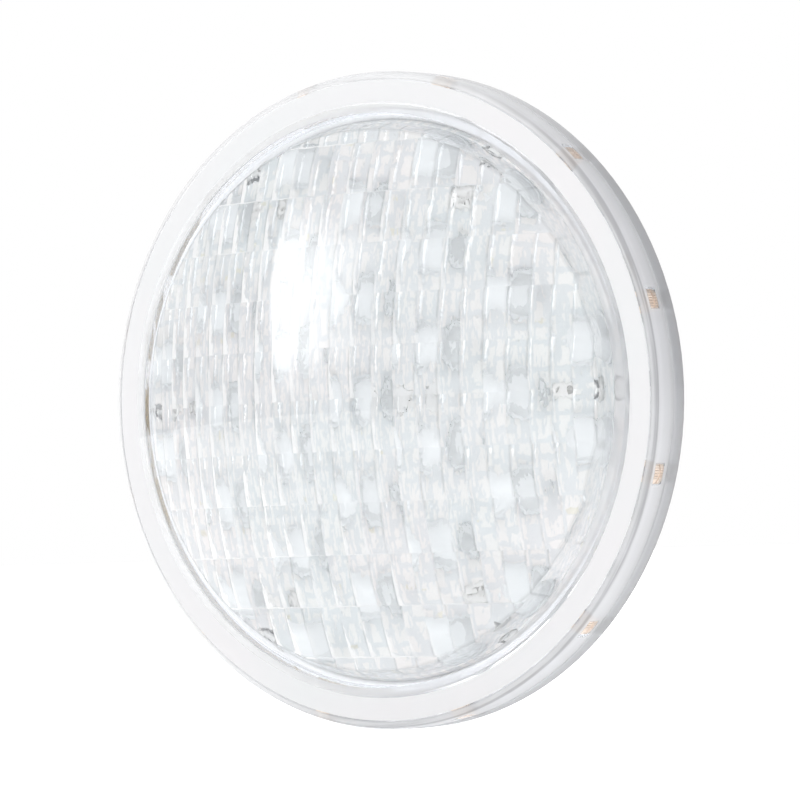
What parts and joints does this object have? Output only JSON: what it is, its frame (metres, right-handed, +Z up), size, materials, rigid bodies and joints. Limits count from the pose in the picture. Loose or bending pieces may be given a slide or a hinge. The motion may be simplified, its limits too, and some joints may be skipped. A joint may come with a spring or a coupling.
{
  "type": "underwater pool light",
  "caption": "Round sealed underwater pool lamp: clear fluted dome lens, clear bowl housing, LED board and driver inside, screw terminals behind.",
  "frame": {"origin": "centre of the rim, in the plane of the rim's rear seating face", "axes": "+Y along the lamp axis from the lens to the terminals (the lens faces -Y), +Z up, +X to the right seen from the front; the two terminals lie along X"},
  "size_m": [0.178, 0.1055, 0.178],
  "materials": {
    "clear_lens": "clear polycarbonate, smooth outside, flat rim face lightly frosted",
    "clear_housing": "clear polycarbonate with a pale translucent body",
    "insert_brass": "knurled brass",
    "terminal_brass": "turned and stamped brass",
    "standoff_brass": "bright drawn brass",
    "tinned_brass": "tin-plated brass",
    "stainless": "stainless steel",
    "heat_sink": "plain aluminium",
    "thermal_pad": "soft grey gap pad",
    "silicone": "translucent silicone",
    "black_rubber": "black rubber",
    "white_board": "cream white solder mask on a metal-core board",
    "led_white": "white moulded package",
    "led_phosphor": "yellow phosphor gel",
    "green_board": "green circuit board",
    "can_sleeve": "dark sleeve over an aluminium can",
    "ferrite": "dark grey ferrite",
    "copper_wire": "enamelled copper",
    "black_epoxy": "black moulding compound",
    "yellow_film_box": "yellow boxed capacitor",
    "terminal_block": "dark green connector body",
    "white_wire": "white silicone insulation",
    "clear_optic": "clear acrylic LED cap",
    "white_nylon": "white nylon",
    "grey_wire": "grey insulation"
  },
  "bodies": {
    "lamp": {"front_lens": "clear_lens", "rear_housing": "clear_housing", "rim_inserts": "insert_brass", "rim_seal": "silicone", "rim_screws": "stainless", "heat_sink": "heat_sink", "sink_screws": "white_nylon", "thermal_pad": "thermal_pad", "led_board": "white_board", "led_packages": "led_white", "led_phosphors": "led_phosphor", "led_optics": "clear_optic", "board_screws": "white_nylon", "standoffs": "standoff_brass", "driver_board": "green_board", "driver_screws": "stainless", "capacitors": "can_sleeve", "choke_core": "ferrite", "choke_winding": "copper_wire", "rectifier": "black_epoxy", "driver_chips": "black_epoxy", "film_capacitor": "yellow_film_box", "input_connector": "terminal_block", "connector_screws": "stainless", "led_lead_positive": "white_wire", "led_lead_negative": "white_wire", "lead_grommet": "silicone", "supply_leads": "grey_wire", "terminal_bushes": "terminal_brass", "terminal_seals": "black_rubber", "solder_tags": "tinned_brass", "terminal_nuts": "terminal_brass"},
    "clamp_left": {"clamp_washer_left": "terminal_brass"},
    "clamp_right": {"clamp_washer_right": "terminal_brass"},
    "screw_left": {"terminal_screw_left": "terminal_brass"},
    "screw_right": {"terminal_screw_right": "terminal_brass"}
  },
  "joints": [
    {"name": "left_clamp_travel", "type": "slide", "parent": "lamp", "child": "clamp_left", "axis": [0, 1, 0], "range_m": [0, 0.004]},
    {"name": "left_screw_turn", "type": "hinge", "parent": "clamp_left", "child": "screw_left", "pos_m": [-0.018, 0.0666, 0], "axis": [0, 1, 0], "range_deg": [0, 2058]},
    {"name": "right_clamp_travel", "type": "slide", "parent": "lamp", "child": "clamp_right", "axis": [0, 1, 0], "range_m": [0, 0.004]},
    {"name": "right_screw_turn", "type": "hinge", "parent": "clamp_right", "child": "screw_right", "pos_m": [0.018, 0.0666, 0], "axis": [0, 1, 0], "range_deg": [0, 2058]}
  ],
  "couplings": [
    {"joint": "left_screw_turn", "follows": "left_clamp_travel", "rad_per_m": 8976},
    {"joint": "right_screw_turn", "follows": "right_clamp_travel", "rad_per_m": 8976}
  ]
}
